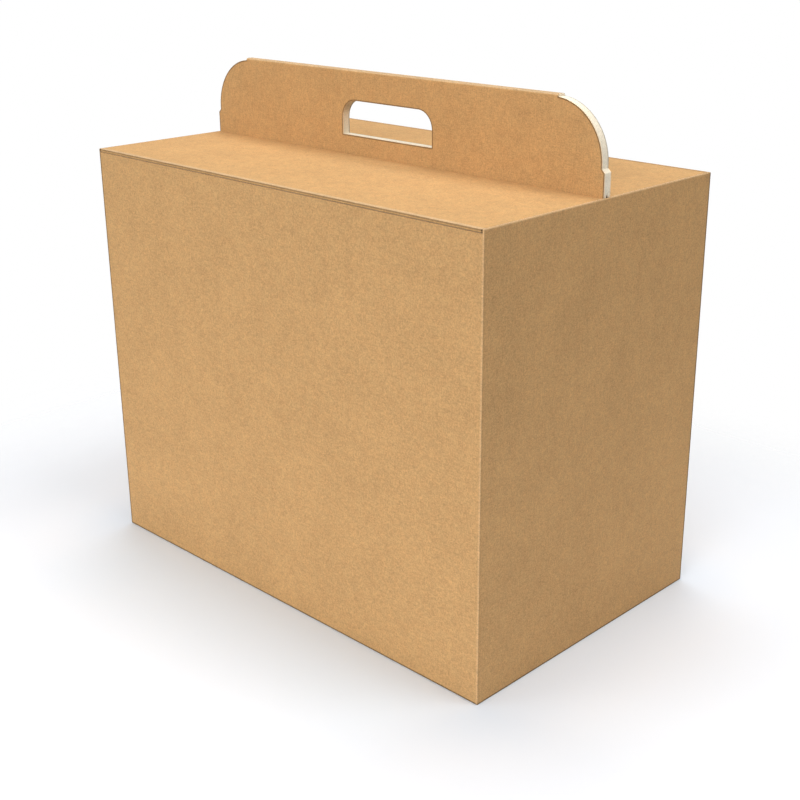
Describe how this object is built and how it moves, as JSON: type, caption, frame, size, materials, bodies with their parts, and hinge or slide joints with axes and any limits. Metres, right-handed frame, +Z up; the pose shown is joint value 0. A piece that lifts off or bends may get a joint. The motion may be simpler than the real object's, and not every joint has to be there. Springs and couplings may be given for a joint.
{
  "type": "cardboard carry box",
  "caption": "Oblong kraft corrugated carry box with a hinged tuck lid that rises into a doubled carry handle with a hand hole.",
  "frame": {"origin": "centre of the underside, on the surface that the box stands on", "axes": "+X along the front, to the right; +Y from the front to the hinged back; +Z up"},
  "size_m": [0.35, 0.212, 0.3378],
  "materials": {
    "kraft_board": "matte kraft paper liner"
  },
  "bodies": {
    "box": {"box_body": "kraft_board"},
    "lid": {"lid": "kraft_board"}
  },
  "joints": [
    {"name": "lid_hinge", "type": "hinge", "parent": "box", "child": "lid", "pos_m": [0, 0.106, 0.283], "axis": [-1, 0, 0], "range_deg": [0, 180]}
  ]
}
